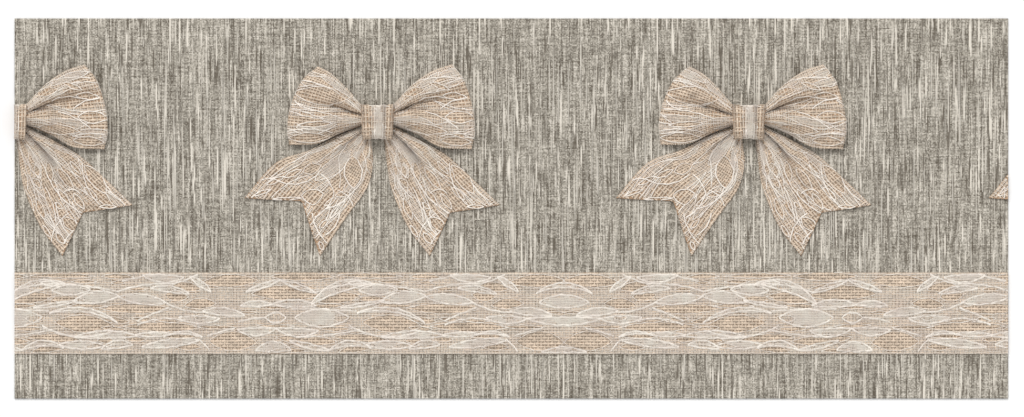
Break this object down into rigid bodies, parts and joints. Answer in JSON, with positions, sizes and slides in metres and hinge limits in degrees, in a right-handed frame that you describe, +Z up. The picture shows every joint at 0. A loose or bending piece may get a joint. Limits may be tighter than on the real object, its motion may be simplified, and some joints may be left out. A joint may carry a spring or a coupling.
{
  "type": "table runner",
  "caption": "Flat slub-cloth table runner with a jute band under lace near its front edge and jute and lace bows along its back half.",
  "frame": {"origin": "centre of the underside, on the table", "axes": "+X along the runner, +Y towards its back edge, away from the band, +Z up off the table"},
  "size_m": [0.915, 0.35, 0.0188],
  "materials": {
    "slub_cloth": "natural slub weave, matt",
    "jute": "open plain weave jute, matt",
    "lace": "ecru corded net lace",
    "thread": "spun sewing thread"
  },
  "bodies": {
    "runner": {"band_end_stitching": "thread", "band_jute": "jute", "band_lace": "lace", "band_stitching": "thread", "edge_bow_binding_thread": "thread", "edge_bow_gathered_middle": "jute", "edge_bow_knot_lace": "lace", "edge_bow_knot_wrap": "jute", "edge_bow_tack_stitches": "thread", "hem_stitching": "thread", "left_bow_binding_thread": "thread", "left_bow_gathered_middle": "jute", "left_bow_knot_lace": "lace", "left_bow_knot_wrap": "jute", "left_bow_tack_stitches": "thread", "right_bow_binding_thread": "thread", "right_bow_gathered_middle": "jute", "right_bow_knot_lace": "lace", "right_bow_knot_wrap": "jute", "right_bow_tack_stitches": "thread", "runner_cloth": "slub_cloth"},
    "edge_bow_right_loop": {"edge_bow_right_loop": "jute", "edge_bow_right_loop_lace": "lace"},
    "edge_bow_right_tail": {"edge_bow_right_tail": "jute", "edge_bow_right_tail_lace": "lace"},
    "left_bow_left_loop": {"left_bow_left_loop": "jute", "left_bow_left_loop_lace": "lace"},
    "left_bow_right_loop": {"left_bow_right_loop": "jute", "left_bow_right_loop_lace": "lace"},
    "left_bow_left_tail": {"left_bow_left_tail": "jute", "left_bow_left_tail_lace": "lace"},
    "left_bow_right_tail": {"left_bow_right_tail": "jute", "left_bow_right_tail_lace": "lace"},
    "right_bow_left_loop": {"right_bow_left_loop": "jute", "right_bow_left_loop_lace": "lace"},
    "right_bow_right_loop": {"right_bow_right_loop": "jute", "right_bow_right_loop_lace": "lace"},
    "right_bow_left_tail": {"right_bow_left_tail": "jute", "right_bow_left_tail_lace": "lace"},
    "right_bow_right_tail": {"right_bow_right_tail": "jute", "right_bow_right_tail_lace": "lace"},
    "edge_tail": {"edge_tail": "jute", "edge_tail_lace": "lace", "edge_tail_stitches": "thread"}
  },
  "joints": [
    {"name": "edge_bow_right_loop_lift", "type": "hinge", "parent": "runner", "child": "edge_bow_right_loop", "pos_m": [-0.4459, 0.08695, 0.01355], "axis": [0, -1, 0], "range_deg": [0, 25]},
    {"name": "edge_bow_right_tail_lift", "type": "hinge", "parent": "runner", "child": "edge_bow_right_tail", "pos_m": [-0.44665, 0.0658, 0.00537], "axis": [-0.6552, -0.7554, 0], "range_deg": [0, 40]},
    {"name": "left_bow_left_loop_lift", "type": "hinge", "parent": "runner", "child": "left_bow_left_loop", "pos_m": [-0.1392, 0.08695, 0.01355], "axis": [0, 1, 0], "range_deg": [0, 25]},
    {"name": "left_bow_right_loop_lift", "type": "hinge", "parent": "runner", "child": "left_bow_right_loop", "pos_m": [-0.1077, 0.08695, 0.01355], "axis": [0, -1, 0], "range_deg": [0, 25]},
    {"name": "left_bow_left_tail_lift", "type": "hinge", "parent": "runner", "child": "left_bow_left_tail", "pos_m": [-0.13795, 0.0658, 0.00537], "axis": [-0.696, 0.718, 0], "range_deg": [0, 40]},
    {"name": "left_bow_right_tail_lift", "type": "hinge", "parent": "runner", "child": "left_bow_right_tail", "pos_m": [-0.10845, 0.0658, 0.00537], "axis": [-0.6552, -0.7554, 0], "range_deg": [0, 40]},
    {"name": "right_bow_left_loop_lift", "type": "hinge", "parent": "runner", "child": "right_bow_left_loop", "pos_m": [0.2029, 0.08695, 0.01355], "axis": [0, 1, 0], "range_deg": [0, 25]},
    {"name": "right_bow_right_loop_lift", "type": "hinge", "parent": "runner", "child": "right_bow_right_loop", "pos_m": [0.2344, 0.08695, 0.01355], "axis": [0, -1, 0], "range_deg": [0, 25]},
    {"name": "right_bow_left_tail_lift", "type": "hinge", "parent": "runner", "child": "right_bow_left_tail", "pos_m": [0.20415, 0.0658, 0.00537], "axis": [-0.696, 0.718, 0], "range_deg": [0, 40]},
    {"name": "right_bow_right_tail_lift", "type": "hinge", "parent": "runner", "child": "right_bow_right_tail", "pos_m": [0.23365, 0.0658, 0.00537], "axis": [-0.6552, -0.7554, 0], "range_deg": [0, 40]},
    {"name": "edge_tail_lift", "type": "hinge", "parent": "runner", "child": "edge_tail", "pos_m": [0.4575, 0.0204, 0.00335], "axis": [0, 1, 0], "range_deg": [0, 60]}
  ]
}
